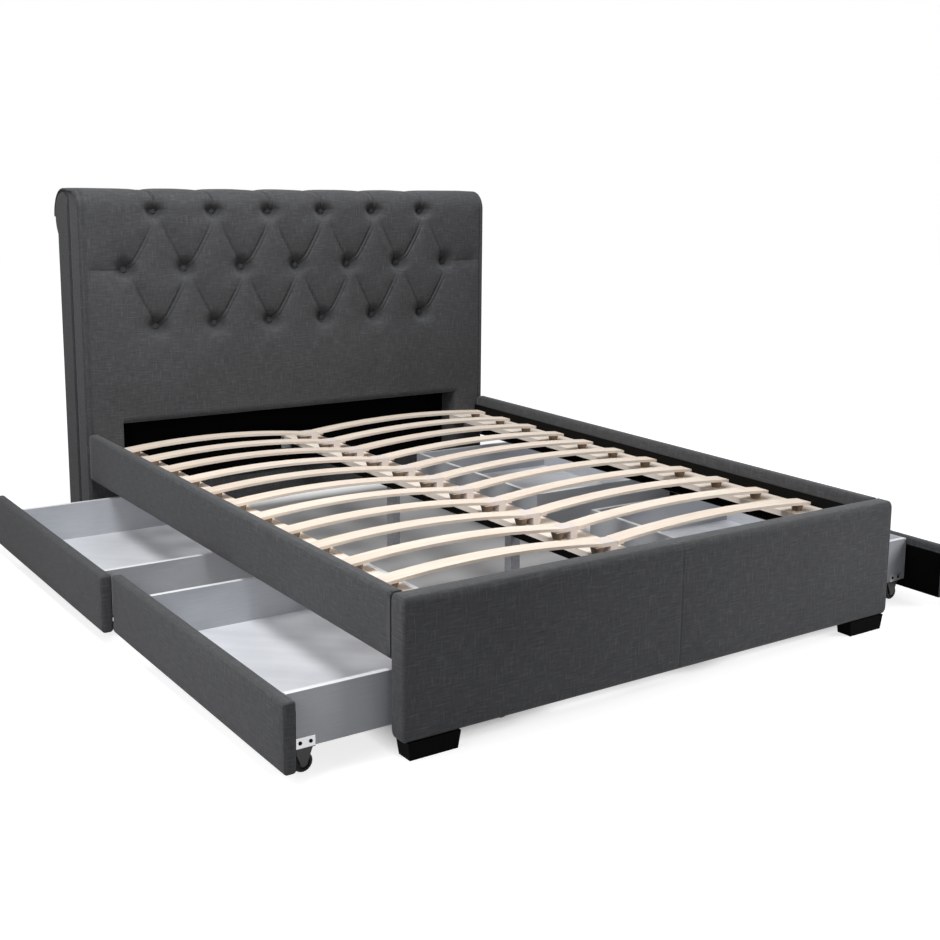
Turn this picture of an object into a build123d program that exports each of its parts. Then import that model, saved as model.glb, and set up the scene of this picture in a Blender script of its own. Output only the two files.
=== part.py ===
"""Upholstered platform bed with a tufted scroll headboard, sprung slats and four wheeled drawers.

Millimetres. +Z is up, +Y points from the foot to the head, +X is to the right seen from the foot.
The origin is on the floor under the middle of the bed. The drawers stand partly open at rest.
"""

import os
from math import atan2, cos, degrees, radians, sin, sqrt

from build123d import *

# Mattress and the well that holds it
mattress_width = 1530.0
mattress_length = 2030.0
mattress_side_gap = 5.0
mattress_end_gap = 21.0

# Rails and footboard
rail_thickness = 35.0
rail_bottom = 220.0
rail_height = 157.0
footboard_thickness = 60.0
foot_height = 43.0
rail_edge_radius = 9.0
footboard_edge_radius = 14.0

# Headboard
headboard_height = 1200.0
pad_depth = 110.0
core_board = 18.0
scroll_radius = 88.0
scroll_setback = 55.0
core_behind_scroll = 65.0
roll_cover = 12.0
roll_gap = 0.4
pad_top_radius = 70.0
pad_corner_radius = 20.0
pad_side_radius = 12.0
end_panel_thickness = 12.0
stile_width = 129.0
recess_headroom = 23.0
lower_panel_thickness = 6.0
lower_panel_bottom = 150.0
back_panel_thickness = 4.0
back_panel_margin = 20.0
headboard_leg_width = 110.0
headboard_leg_inset = 18.0

# Tufting
button_pitch = 214.0
button_rows = (6, 7, 6)
top_row_drop = 75.0
row_drop = 199.0
tuft_radius = 46.0
tuft_depth = 30.0
tuft_seat_radius = 15.0
tuft_flare = 0.38
button_radius = 13.0
button_height = 9.0
pleat_width = 30.0
pleat_depth = 15.0
faint_pleat_depth = 8.0
faint_pleat_length = 240.0
pleat_proud = 2.0

# Slat base
slat_count = 11
slat_width = 55.0
slat_thickness = 8.0
slat_rise = 19.0
slat_joint = -43.5
slat_joint_gap = 51.0
slat_outer_gap = 54.0
slat_foot_margin = 197.0
slat_head_margin = 129.0
strip_width = 118.0
strip_thickness = 18.0
side_strip_drop = 65.0
centre_strip_drop = 79.0
centre_strip_place = -22.0
strip_end_gap = 3.0
plug_top_radius = 20.0
plug_bottom_radius = 13.5
side_plug_height = 18.0
side_plug_inset = 28.0
centre_plug_height = 22.0
plug_clearance = 0.2
cap_flange = 3.5
cap_overlap = 22.0
cap_stem = 24.0
cap_side_inset = 3.0
cap_clearance = 0.5
ledge_thickness = 3.0
ledge_shelf = 60.0
ledge_rise = 48.0
beam_width = 40.0
beam_height = 50.0
leg_size = 32.0
leg_wall = 2.0
leg_count = 2
first_leg = 740.0
leg_spacing = 700.0
leg_pad_radius = 22.0
leg_pad_height = 8.0
leg_pad_chamfer = 2.0
hanger_thickness = 3.0
hanger_length = 40.0
hanger_flange = 20.0
hanger_gap = 0.5

# Front feet
foot_width = 138.0
foot_depth = 54.0
foot_taper = 6.0
foot_outer_inset = 12.0
foot_front_inset = 2.0

# Corner brackets and their bolts
corner_leg = 55.0
corner_lift = 10.0
corner_thickness = 3.0
corner_drop = 3.0
bolt_head_radius = 6.5
bolt_top_radius = 3.2
bolt_head_height = 4.5
bolt_inset = 36.0

# Drawers
drawer_front_thickness = 30.0
drawer_front_bottom = 33.0
drawer_headroom = 25.0
drawer_joint_gap = 4.0
drawer_foot_inset = 23.0
drawer_head_overlap = 32.0
drawer_front_clearance = 1.0
drawer_front_radius = 7.0
box_length = 800.0
box_depth = 610.0
box_top_drop = 4.0
box_bottom = 62.0
box_wall = 15.0
box_floor = 12.0
box_end_clearance = 6.0
left_box_share = 0.0565
right_box_share = 0.5028
left_foot_open = 242.0
left_head_open = 269.0
right_foot_open = 269.0
right_head_open = 242.0

# Wheels and their brackets
wheel_radius = 23.0
wheel_width = 20.0
wheel_dish = 3.0
wheel_edge_radius = 3.0
wheel_end_inset = 44.0
axle_radius = 3.0
axle_clearance = 0.1
hub_radius = 8.0
bracket_thickness = 2.0
bracket_width = 46.0
bracket_height = 24.0
bracket_side_gap = 1.0
cheek_radius = 9.0
wheel_side_inset = 10.0

# Sizes worked out from the values above
frame_top = rail_bottom + rail_height
well_half_width = mattress_width / 2 + mattress_side_gap
frame_half_width = well_half_width + rail_thickness
well_length = mattress_length + mattress_end_gap
core_depth = scroll_setback + core_behind_scroll
scroll_place = pad_depth + scroll_setback
scroll_height = headboard_height - roll_cover - scroll_radius
headboard_depth = scroll_place + scroll_radius + roll_cover
overall_length = footboard_thickness + well_length + headboard_depth
foot_face = -overall_length / 2
well_foot = foot_face + footboard_thickness
well_head = well_foot + well_length
core_front = well_head + pad_depth
core_back = core_front + core_depth
recess_half_width = frame_half_width - stile_width
recess_top = frame_top + recess_headroom
side_strip_top = frame_top - side_strip_drop
side_strip_bottom = side_strip_top - strip_thickness
centre_strip_top = frame_top - centre_strip_drop
centre_strip_bottom = centre_strip_top - strip_thickness
beam_bottom = centre_strip_bottom - beam_height
slat_outer_end = well_half_width - slat_outer_gap
slat_outer_z = side_strip_top + side_plug_height
slat_inner_z = centre_strip_top + centre_plug_height + cap_flange
slat_pitch = (well_length - slat_foot_margin - slat_head_margin) / (slat_count - 1)
strip_outer = well_half_width - ledge_thickness - strip_end_gap
corner_bottom = rail_bottom + corner_lift
corner_top = side_strip_bottom - ledge_thickness - corner_drop
top_row = headboard_height - top_row_drop
drawer_top = rail_bottom - drawer_headroom
box_top = drawer_top - box_top_drop
drawer_foot = foot_face + drawer_foot_inset
drawer_length = (well_head + drawer_head_overlap - drawer_foot - drawer_joint_gap) / 2
closed_box_face = frame_half_width + drawer_front_clearance
box_least_inset = well_foot - drawer_foot + box_end_clearance
box_most_inset = drawer_length - drawer_head_overlap - box_end_clearance - box_length
box_spare = box_most_inset - box_least_inset

SIDES = {"left": -1, "right": 1}
BOX_INSETS = {
    "left": box_least_inset + left_box_share * box_spare,
    "right": box_least_inset + right_box_share * box_spare,
}
DRAWERS_OPEN = {
    ("left", "foot"): left_foot_open,
    ("left", "head"): left_head_open,
    ("right", "foot"): right_foot_open,
    ("right", "head"): right_head_open,
}


def save(part, name):
    """Label a finished piece and write it as its own file."""
    part.label = name
    export_step(part, f"parts/{name}.step")


def board(x_range, y_range, z_range):
    """A plain board between three pairs of limits."""
    x_low, x_high = sorted(x_range)
    y_low, y_high = sorted(y_range)
    z_low, z_high = sorted(z_range)
    with BuildPart() as piece:
        with BuildSketch(Plane.XY.offset(z_low)):
            with Locations(((x_low + x_high) / 2, (y_low + y_high) / 2)):
                Rectangle(x_high - x_low, y_high - y_low)
        extrude(amount=z_high - z_low)
    return piece.part


def padded_board(x_range, y_range, z_range, radius):
    """A board wrapped in padded cloth: every outer edge is rounded."""
    with BuildPart() as piece:
        add(board(x_range, y_range, z_range))
        fillet(piece.edges(), radius)
    return piece.part


def side_plane(x):
    """Plane whose drawing axes are Y and Z, at a place along the bed's width."""
    return Plane(origin=(x, 0, 0), x_dir=(0, 1, 0), z_dir=(1, 0, 0))


def front_plane(y):
    """Plane whose drawing axes are X and Z, at a place along the bed's length."""
    return Plane(origin=(0, y, 0), x_dir=(1, 0, 0), z_dir=(0, -1, 0))


def scroll_point(radius, angle):
    """Point on a circle round the scroll's centre, as a place along Y and a height."""
    y = well_head + scroll_place + radius * cos(radians(angle))
    return (y, scroll_height + radius * sin(radians(angle)))


def core_outline(x):
    """Side outline of the headboard core: an upright slab that ends in a backward scroll."""
    rise_front = sqrt(scroll_radius**2 - scroll_setback**2)
    reach_back = core_depth - scroll_setback
    drop_back = sqrt(scroll_radius**2 - reach_back**2)
    front_angle = degrees(atan2(rise_front, -scroll_setback))
    back_angle = degrees(atan2(-drop_back, reach_back))
    with BuildSketch(side_plane(x)) as outline:
        with BuildLine():
            Line((core_front, foot_height), scroll_point(scroll_radius, front_angle))
            ThreePointArc(
                scroll_point(scroll_radius, front_angle),
                scroll_point(scroll_radius, (front_angle + back_angle) / 2),
                scroll_point(scroll_radius, back_angle),
            )
            Line(scroll_point(scroll_radius, back_angle), (core_back, foot_height))
            Line((core_back, foot_height), (core_front, foot_height))
        make_face()
    return outline.sketch


def headboard_core():
    """Hollow core of the headboard, built of boards between the two end panels."""
    outline = core_outline(0)
    with BuildPart() as core:
        extrude(outline, amount=frame_half_width - end_panel_thickness, both=True)
        inside = offset(outline, amount=-core_board, mode=Mode.PRIVATE)
        extrude(inside, amount=frame_half_width - end_panel_thickness, both=True, mode=Mode.SUBTRACT)
    return core.part


def headboard_end(side):
    """Scroll-shaped panel that closes one end of the core."""
    with BuildPart() as panel:
        outline = core_outline(side * (frame_half_width - end_panel_thickness))
        extrude(outline, amount=side * end_panel_thickness)
    return panel.part


def pad_outline():
    """Side outline of the front pad: upright, rounded over the top, thin where it wraps the scroll."""
    inner = scroll_radius + roll_gap
    outer = scroll_radius + roll_cover
    rise_front = sqrt(inner**2 - scroll_setback**2)
    front_angle = degrees(atan2(rise_front, -scroll_setback))
    shoulder = headboard_height - pad_top_radius
    slant = pad_top_radius * cos(radians(45))
    with BuildSketch(side_plane(0)) as outline:
        with BuildLine():
            Line((core_front, foot_height), (well_head, foot_height))
            Line((well_head, foot_height), (well_head, shoulder))
            ThreePointArc(
                (well_head, shoulder),
                (well_head + pad_top_radius - slant, shoulder + slant),
                (well_head + pad_top_radius, headboard_height),
            )
            Line((well_head + pad_top_radius, headboard_height), scroll_point(outer, 90))
            ThreePointArc(scroll_point(outer, 90), scroll_point(outer, 45), scroll_point(outer, 0))
            Line(scroll_point(outer, 0), scroll_point(inner, 0))
            ThreePointArc(
                scroll_point(inner, 0),
                scroll_point(inner, front_angle / 2),
                scroll_point(inner, front_angle),
            )
            Line(scroll_point(inner, front_angle), (core_front, foot_height))
        make_face()
    return outline.sketch


def button_places():
    """Places of the tufts on the pad's front, row by row from the top, as X and Z."""
    rows = []
    for row, count in enumerate(button_rows):
        height = top_row - row * row_drop
        rows.append([((i - (count - 1) / 2) * button_pitch, height) for i in range(count)])
    return rows


def tuft(x, z):
    """The trumpet-shaped hollow of one tuft."""
    lip = tuft_radius - tuft_seat_radius
    with BuildPart() as hollow:
        with BuildSketch(Plane(origin=(x, well_head, z), x_dir=(1, 0, 0), z_dir=(0, 0, 1))):
            with BuildLine():
                Line((0, -pleat_proud), (tuft_radius, -pleat_proud))
                Line((tuft_radius, -pleat_proud), (tuft_radius, 0))
                ThreePointArc(
                    (tuft_radius, 0),
                    (tuft_seat_radius + lip * tuft_flare, tuft_depth * tuft_flare),
                    (tuft_seat_radius, tuft_depth),
                )
                Line((tuft_seat_radius, tuft_depth), (0, tuft_depth))
                Line((0, tuft_depth), (0, -pleat_proud))
            make_face()
        revolve(axis=Axis((x, well_head, z), (0, 1, 0)))
    return hollow.part


def pleat(start, end, depth):
    """The folded hollow of one pleat between two places on the pad's front."""
    run_x = end[0] - start[0]
    run_z = end[1] - start[1]
    across = Plane(
        origin=(start[0], well_head, start[1]),
        x_dir=(run_z, 0, -run_x),
        z_dir=(run_x, 0, run_z),
    )
    with BuildPart() as hollow:
        with BuildSketch(across):
            with BuildLine():
                Polyline(
                    (-pleat_width / 2, -pleat_proud),
                    (pleat_width / 2, -pleat_proud),
                    (0, depth),
                    close=True,
                )
            make_face()
        extrude(amount=sqrt(run_x**2 + run_z**2))
    return hollow.part


def tufting():
    """Every hollow that the buttons and pleats press into the pad."""
    top, middle, bottom = button_places()
    hollows = []
    for outer_row in (top, bottom):
        for i, place in enumerate(outer_row):
            hollows.append(pleat(place, middle[i], pleat_depth))
            hollows.append(pleat(place, middle[i + 1], pleat_depth))
    for x, z in top:
        hollows.append(pleat((x, z), (x, headboard_height), pleat_depth))
    for x, z in bottom:
        hollows.append(pleat((x, z), (x, z - faint_pleat_length), faint_pleat_depth))
    for edge, (x, z) in ((-frame_half_width, middle[0]), (frame_half_width, middle[-1])):
        hollows.append(pleat((x, z), (edge, z), faint_pleat_depth))
    for x, z in top + middle + bottom:
        hollows.append(tuft(x, z))
    return hollows


def pad_front_outline():
    """Front outline of the pad, with rounded upper corners."""
    edge = frame_half_width
    bend = headboard_height - pad_corner_radius
    flat = edge - pad_corner_radius
    slant = pad_corner_radius * (1 - cos(radians(45)))
    with BuildSketch(front_plane(well_head)) as outline:
        with BuildLine():
            Line((-edge, foot_height), (edge, foot_height))
            Line((edge, foot_height), (edge, bend))
            ThreePointArc((edge, bend), (edge - slant, headboard_height - slant), (flat, headboard_height))
            Line((flat, headboard_height), (-flat, headboard_height))
            ThreePointArc((-flat, headboard_height), (slant - edge, headboard_height - slant), (-edge, bend))
            Line((-edge, bend), (-edge, foot_height))
        make_face()
    return outline.sketch


def pad_plan_outline():
    """Plan outline of the pad, with rounded front edges."""
    edge = frame_half_width
    flat = edge - pad_side_radius
    bend = well_head + pad_side_radius
    back = well_head + headboard_depth
    slant = pad_side_radius * (1 - cos(radians(45)))
    with BuildSketch() as outline:
        with BuildLine():
            Line((edge, back), (-edge, back))
            Line((-edge, back), (-edge, bend))
            ThreePointArc((-edge, bend), (slant - edge, well_head + slant), (-flat, well_head))
            Line((-flat, well_head), (flat, well_head))
            ThreePointArc((flat, well_head), (edge - slant, well_head + slant), (edge, bend))
            Line((edge, bend), (edge, back))
        make_face()
    return outline.sketch


def headboard_pad():
    """Deep-buttoned front pad, open below where the black panel lies in its recess."""
    hollows = tufting()
    with BuildPart() as pad:
        extrude(pad_outline(), amount=frame_half_width, both=True)
        extrude(pad_front_outline(), amount=-headboard_depth, mode=Mode.INTERSECT)
        extrude(pad_plan_outline(), amount=headboard_height, mode=Mode.INTERSECT)
        with BuildSketch(front_plane(well_head)):
            with Locations((0, (recess_top + foot_height) / 2)):
                Rectangle(2 * recess_half_width, recess_top - foot_height)
        extrude(amount=-pad_depth, mode=Mode.SUBTRACT)
        add(hollows, mode=Mode.SUBTRACT)
    return pad.part


def headboard_buttons():
    """Cloth-covered domed buttons, one on the floor of each tuft."""
    seat = well_head + tuft_depth
    dome_radius = (button_radius**2 + button_height**2) / (2 * button_height)
    half_angle = atan2(button_radius, dome_radius - button_height) / 2
    shoulder = dome_radius - button_height - dome_radius * cos(half_angle)
    with BuildPart() as buttons:
        for x, z in sum(button_places(), []):
            with BuildSketch(Plane(origin=(x, seat, z), x_dir=(1, 0, 0), z_dir=(0, 0, 1))):
                with BuildLine():
                    Line((0, 0), (button_radius, 0))
                    ThreePointArc(
                        (button_radius, 0),
                        (dome_radius * sin(half_angle), shoulder),
                        (0, -button_height),
                    )
                    Line((0, -button_height), (0, 0))
                make_face()
            revolve(axis=Axis((x, seat, z), (0, 1, 0)))
    return buttons.part


def headboard_legs():
    """Two hidden blocks that the headboard stands on."""
    x = frame_half_width - headboard_leg_inset - headboard_leg_width / 2
    y = (core_front + core_back) / 2
    with BuildPart() as legs:
        with BuildSketch():
            with Locations((-x, y), (x, y)):
                Rectangle(headboard_leg_width, core_depth - 2 * headboard_leg_inset)
        extrude(amount=foot_height)
    return legs.part


def footboard():
    """Upholstered footboard, rounded on the edges that no rail meets."""
    with BuildPart() as panel:
        add(board((-frame_half_width, frame_half_width), (foot_face, well_foot), (foot_height, frame_top)))
        front = panel.faces().sort_by(Axis.Y)[0]
        top = panel.faces().sort_by(Axis.Z)[-1]
        fillet(front.edges() + top.edges(), footboard_edge_radius)
    return panel.part


def side_rail(side):
    """Upholstered rail between the footboard and the headboard."""
    with BuildPart() as rail:
        x_range = (side * well_half_width, side * frame_half_width)
        add(board(x_range, (well_foot, well_head), (rail_bottom, frame_top)))
        fillet(rail.edges().filter_by(Axis.Y), rail_edge_radius)
    return rail.part


def front_feet():
    """Tapered blocks under the two ends of the footboard."""
    x = frame_half_width - foot_outer_inset - foot_width / 2
    y = foot_face + foot_front_inset + foot_depth / 2
    with BuildPart() as feet:
        for side in SIDES.values():
            with BuildSketch(Plane.XY.offset(foot_height)):
                with Locations((side * x, y)):
                    Rectangle(foot_width, foot_depth)
            with BuildSketch(Plane.XY):
                with Locations((side * x, y)):
                    Rectangle(foot_width - 2 * foot_taper, foot_depth - foot_taper)
            loft()
    return feet.part


def rail_ledge(side):
    """Steel angle on the inside of a rail: a shelf for the slat strip and an upright flange."""
    wall = side * well_half_width
    shelf_bottom = side_strip_bottom - ledge_thickness
    with BuildPart() as ledge:
        with BuildSketch(front_plane(well_head - strip_end_gap)):
            with BuildLine():
                Polyline(
                    (wall, shelf_bottom),
                    (wall, side_strip_bottom + ledge_rise),
                    (wall - side * ledge_thickness, side_strip_bottom + ledge_rise),
                    (wall - side * ledge_thickness, side_strip_bottom),
                    (wall - side * ledge_shelf, side_strip_bottom),
                    (wall - side * ledge_shelf, shelf_bottom),
                    close=True,
                )
            make_face()
        extrude(amount=well_length - 2 * strip_end_gap)
    return ledge.part


def slat_ends(side):
    """Underside of a slat at its inner and outer end, as a place across the bed and a height."""
    inner = (slat_joint + side * slat_joint_gap / 2, slat_inner_z)
    outer = (side * slat_outer_end, slat_outer_z)
    return inner, outer


def slat_underside(side, x):
    """Height of a slat's bowed underside at a place across the bed."""
    (inner_x, inner_z), (outer_x, outer_z) = slat_ends(side)
    along = (x - inner_x) / (outer_x - inner_x)
    return inner_z + along * (outer_z - inner_z) + 4 * slat_rise * along * (1 - along)


def slat_places():
    """Places of the slats along the bed."""
    return [well_foot + slat_foot_margin + i * slat_pitch for i in range(slat_count)]


def slats(side):
    """One column of bowed slats."""
    inner, outer = slat_ends(side)
    middle = (inner[0] + outer[0]) / 2
    crest = (middle, slat_underside(side, middle))
    top_inner, top_crest, top_outer = [(x, z + slat_thickness) for x, z in (inner, crest, outer)]
    with BuildPart() as column:
        for y in slat_places():
            with BuildSketch(front_plane(y)):
                with BuildLine():
                    ThreePointArc(inner, crest, outer)
                    Line(outer, top_outer)
                    ThreePointArc(top_outer, top_crest, top_inner)
                    Line(top_inner, inner)
                make_face()
            extrude(amount=slat_width / 2, both=True)
    return column.part


def slat_holders():
    """Tapered plugs under the slats: one on each side strip, one on the centre strip for each pair."""
    on_strip = (Align.CENTER, Align.CENTER, Align.MIN)
    with BuildPart() as plugs:
        for y in slat_places():
            for side in SIDES.values():
                x = side * (slat_outer_end - side_plug_inset)
                near_x = x - plug_top_radius * side
                far_x = x + plug_top_radius * side
                near_z = slat_underside(side, near_x) - plug_clearance
                far_z = slat_underside(side, far_x) - plug_clearance
                with Locations((x, y, side_strip_top)):
                    Cone(plug_bottom_radius, plug_top_radius, near_z - side_strip_top, align=on_strip)
                with BuildSketch(front_plane(y)):
                    with BuildLine():
                        Polyline((near_x, near_z), (far_x, far_z), (far_x, near_z), close=True)
                    make_face()
                extrude(amount=plug_top_radius, both=True, mode=Mode.SUBTRACT)
            with Locations((slat_joint - slat_joint_gap / 2, y, centre_strip_top)):
                Cone(plug_bottom_radius, plug_top_radius, centre_plug_height, align=on_strip)
    return plugs.part


def slat_caps():
    """Plastic pieces that join the inner ends of each pair of slats over the centre strip."""
    left, right = [slat_joint + side * (slat_joint_gap / 2 - cap_clearance) for side in (-1, 1)]
    seat = slat_inner_z - cap_flange
    with BuildPart() as caps:
        for y in slat_places():
            with BuildSketch(front_plane(y)):
                with BuildLine():
                    Polyline(
                        (left - cap_overlap, seat),
                        (right - cap_stem, seat),
                        (right - cap_stem, centre_strip_top),
                        (right, centre_strip_top),
                        (right, seat),
                        (right + cap_overlap, seat),
                        (right + cap_overlap, slat_inner_z),
                        (right, slat_inner_z),
                        (right, slat_inner_z + slat_thickness),
                        (left, slat_inner_z + slat_thickness),
                        (left, slat_inner_z),
                        (left - cap_overlap, slat_inner_z),
                        close=True,
                    )
                make_face()
            extrude(amount=slat_width / 2 - cap_side_inset, both=True)
    return caps.part


def slat_strip(x_range, top):
    """Lengthwise strip that carries the slats."""
    y_range = (well_foot + strip_end_gap, well_head - strip_end_gap)
    return board(x_range, y_range, (top - strip_thickness, top))


def leg_places():
    """Places of the centre legs along the middle line."""
    return [(0, foot_face + first_leg + i * leg_spacing) for i in range(leg_count)]


def centre_legs():
    """Square tubes under the centre beam."""
    with BuildPart() as legs:
        with BuildSketch(Plane.XY.offset(leg_pad_height)):
            with Locations(*leg_places()):
                Rectangle(leg_size, leg_size)
                Rectangle(leg_size - 2 * leg_wall, leg_size - 2 * leg_wall, mode=Mode.SUBTRACT)
        extrude(amount=beam_bottom - leg_pad_height)
    return legs.part


def centre_leg_pads():
    """Round floor pads under the centre legs."""
    with BuildPart() as pads:
        with BuildSketch():
            with Locations(*leg_places()):
                Circle(leg_pad_radius)
        extrude(amount=leg_pad_height)
        chamfer(pads.faces().group_by(Axis.Z)[-1].edges(), leg_pad_chamfer)
    return pads.part


def beam_ends():
    """Ends of the centre beam: just inside the footboard and the black panel."""
    return (well_foot + hanger_thickness, core_front - lower_panel_thickness - hanger_thickness)


def beam_hangers():
    """Steel hangers: a plate on each end wall with a trough under the beam's end."""
    half_inside = beam_width / 2 + hanger_gap
    half_outside = half_inside + hanger_thickness
    trough_bottom = beam_bottom - hanger_thickness
    foot_end, head_end = beam_ends()
    with BuildPart() as hangers:
        for wall, inward in ((foot_end - hanger_thickness, 1), (head_end + hanger_thickness, -1)):
            with BuildSketch(front_plane(wall)):
                with Locations((0, (trough_bottom + centre_strip_bottom) / 2)):
                    Rectangle(2 * (half_outside + hanger_flange), centre_strip_bottom - trough_bottom)
            extrude(amount=-inward * hanger_thickness)
            with BuildSketch(front_plane(wall)):
                with BuildLine():
                    Polyline(
                        (-half_outside, centre_strip_bottom),
                        (-half_outside, trough_bottom),
                        (half_outside, trough_bottom),
                        (half_outside, centre_strip_bottom),
                        (half_inside, centre_strip_bottom),
                        (half_inside, beam_bottom),
                        (-half_inside, beam_bottom),
                        (-half_inside, centre_strip_bottom),
                        close=True,
                    )
                make_face()
            extrude(amount=-inward * hanger_length)
    return hangers.part


def corners():
    """Inside corners of the frame: side, wall across the bed, and the way into the well from it."""
    return [(side, wall, way) for side in SIDES.values() for wall, way in ((well_foot, 1), (well_head, -1))]


def corner_brackets():
    """Steel angles that join the rails to the footboard and the headboard."""
    with BuildPart() as brackets:
        for side, wall, way in corners():
            rail = side * well_half_width
            with BuildSketch(Plane.XY.offset(corner_bottom)):
                with BuildLine():
                    Polyline(
                        (rail, wall),
                        (rail - side * corner_leg, wall),
                        (rail - side * corner_leg, wall + way * corner_thickness),
                        (rail - side * corner_thickness, wall + way * corner_thickness),
                        (rail - side * corner_thickness, wall + way * corner_leg),
                        (rail, wall + way * corner_leg),
                        close=True,
                    )
                make_face()
            extrude(amount=corner_top - corner_bottom)
    return brackets.part


def corner_bolts():
    """Domed bolt heads on the corner brackets."""
    height = (corner_top + corner_bottom) / 2
    with BuildPart() as bolts:
        for side, wall, way in corners():
            rail = side * (well_half_width - corner_thickness)
            on_rail = Plane(origin=(rail, wall + way * bolt_inset, height), z_dir=(-side, 0, 0))
            on_wall = Plane(
                origin=(side * (well_half_width - bolt_inset), wall + way * corner_thickness, height),
                z_dir=(0, way, 0),
            )
            for face in (on_rail, on_wall):
                with BuildSketch(face):
                    Circle(bolt_head_radius)
                with BuildSketch(face.offset(bolt_head_height)):
                    Circle(bolt_top_radius)
                loft()
    return bolts.part


class Drawer:
    """Places of one drawer's pieces, all taken from its side and its end of the bed."""

    def __init__(self, side_name, end_name):
        self.name = f"drawer_{side_name}_{end_name}"
        self.side = SIDES[side_name]
        slot = 0 if end_name == "foot" else 1
        self.front_y = drawer_foot + slot * (drawer_length + drawer_joint_gap)
        self.front_end_y = self.front_y + drawer_length
        self.box_y = self.front_y + BOX_INSETS[side_name]
        self.box_end_y = self.box_y + box_length
        self.box_face = closed_box_face + DRAWERS_OPEN[side_name, end_name]
        self.face = self.box_face + drawer_front_thickness
        self.wheel_rows = (self.box_face - wheel_end_inset, self.box_face - box_depth + wheel_end_inset)
        wheel_inset = wheel_side_inset + wheel_width / 2
        self.wheel_ys = (self.box_y + wheel_inset, self.box_end_y - wheel_inset)

    def x(self, *places):
        """Distances from the middle line, put on the drawer's own side."""
        return [self.side * place for place in places]

    def front(self):
        """Upholstered front."""
        return padded_board(
            self.x(self.face, self.box_face),
            (self.front_y, self.front_end_y),
            (drawer_front_bottom, drawer_top),
            drawer_front_radius,
        )

    def box_side(self, y, inward):
        """Side of the box across the bed."""
        return board(
            self.x(self.box_face, self.box_face - box_depth),
            (y, y + inward * box_wall),
            (box_bottom, box_top),
        )

    def back(self):
        """Back of the box, between the two sides."""
        inner_end = self.box_face - box_depth
        return board(
            self.x(inner_end, inner_end + box_wall),
            (self.box_y + box_wall, self.box_end_y - box_wall),
            (box_bottom, box_top),
        )

    def bottom(self):
        """Bottom of the box, between the sides and in front of the back."""
        return board(
            self.x(self.box_face, self.box_face - box_depth + box_wall),
            (self.box_y + box_wall, self.box_end_y - box_wall),
            (box_bottom, box_bottom + box_floor),
        )

    def brackets(self):
        """Bent steel brackets: a plate on the box side, a plate under it and two cheeks with an axle."""
        inner_cheek = wheel_width / 2 + bracket_side_gap
        outer_cheek = inner_cheek + bracket_thickness
        under = box_bottom - bracket_thickness
        with BuildPart() as brackets:
            for x in self.x(*self.wheel_rows):
                for y, wall, outward in zip(self.wheel_ys, (self.box_y, self.box_end_y), (-1, 1)):
                    with BuildSketch(side_plane(x)):
                        with BuildLine():
                            Polyline(
                                (wall, box_bottom + bracket_height),
                                (wall + outward * bracket_thickness, box_bottom + bracket_height),
                                (wall + outward * bracket_thickness, under),
                                (y - outward * outer_cheek, under),
                                (y - outward * outer_cheek, box_bottom),
                                (wall, box_bottom),
                                close=True,
                            )
                        make_face()
                    extrude(amount=bracket_width / 2, both=True)
                    for cheek in (y - outer_cheek, y + inner_cheek):
                        with BuildSketch(front_plane(cheek)):
                            with BuildLine():
                                Polyline(
                                    (x - cheek_radius, wheel_radius),
                                    (x - bracket_width / 2, under),
                                    (x + bracket_width / 2, under),
                                    (x + cheek_radius, wheel_radius),
                                )
                                ThreePointArc(
                                    (x + cheek_radius, wheel_radius),
                                    (x, wheel_radius - cheek_radius),
                                    (x - cheek_radius, wheel_radius),
                                )
                            make_face()
                        extrude(amount=-bracket_thickness)
                    with BuildSketch(front_plane(y - outer_cheek)):
                        with Locations((x, wheel_radius)):
                            Circle(axle_radius)
                    extrude(amount=-2 * outer_cheek)
        return brackets.part

    def wheels(self, row):
        """The pair of wheels on one axle line."""
        x = self.side * self.wheel_rows[row]
        half = wheel_width / 2
        bore = axle_radius + axle_clearance
        web = half - wheel_dish
        tread = (hub_radius + wheel_radius) / 2
        with BuildPart() as wheels:
            for y in self.wheel_ys:
                axle = Plane(origin=(x, y, wheel_radius), x_dir=(1, 0, 0), z_dir=(0, 0, 1))
                with BuildSketch(axle):
                    with BuildLine():
                        Polyline(
                            (bore, -half),
                            (hub_radius, -half),
                            (hub_radius, -web),
                            (tread, -web),
                            (tread, -half),
                            (wheel_radius - wheel_edge_radius, -half),
                            (wheel_radius, wheel_edge_radius - half),
                            (wheel_radius, half - wheel_edge_radius),
                            (wheel_radius - wheel_edge_radius, half),
                            (tread, half),
                            (tread, web),
                            (hub_radius, web),
                            (hub_radius, half),
                            (bore, half),
                            close=True,
                        )
                    make_face()
                revolve(axis=Axis((x, y, wheel_radius), (0, 1, 0)))
        return wheels.part

    def save_all(self):
        """Write every piece of the drawer."""
        save(self.front(), f"{self.name}_front")
        save(self.box_side(self.box_y, 1), f"{self.name}_side_foot")
        save(self.box_side(self.box_end_y, -1), f"{self.name}_side_head")
        save(self.back(), f"{self.name}_back")
        save(self.bottom(), f"{self.name}_bottom")
        save(self.brackets(), f"{self.name}_brackets")
        save(self.wheels(0), f"{self.name}_wheels_outer")
        save(self.wheels(1), f"{self.name}_wheels_inner")


os.makedirs("parts", exist_ok=True)

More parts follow.
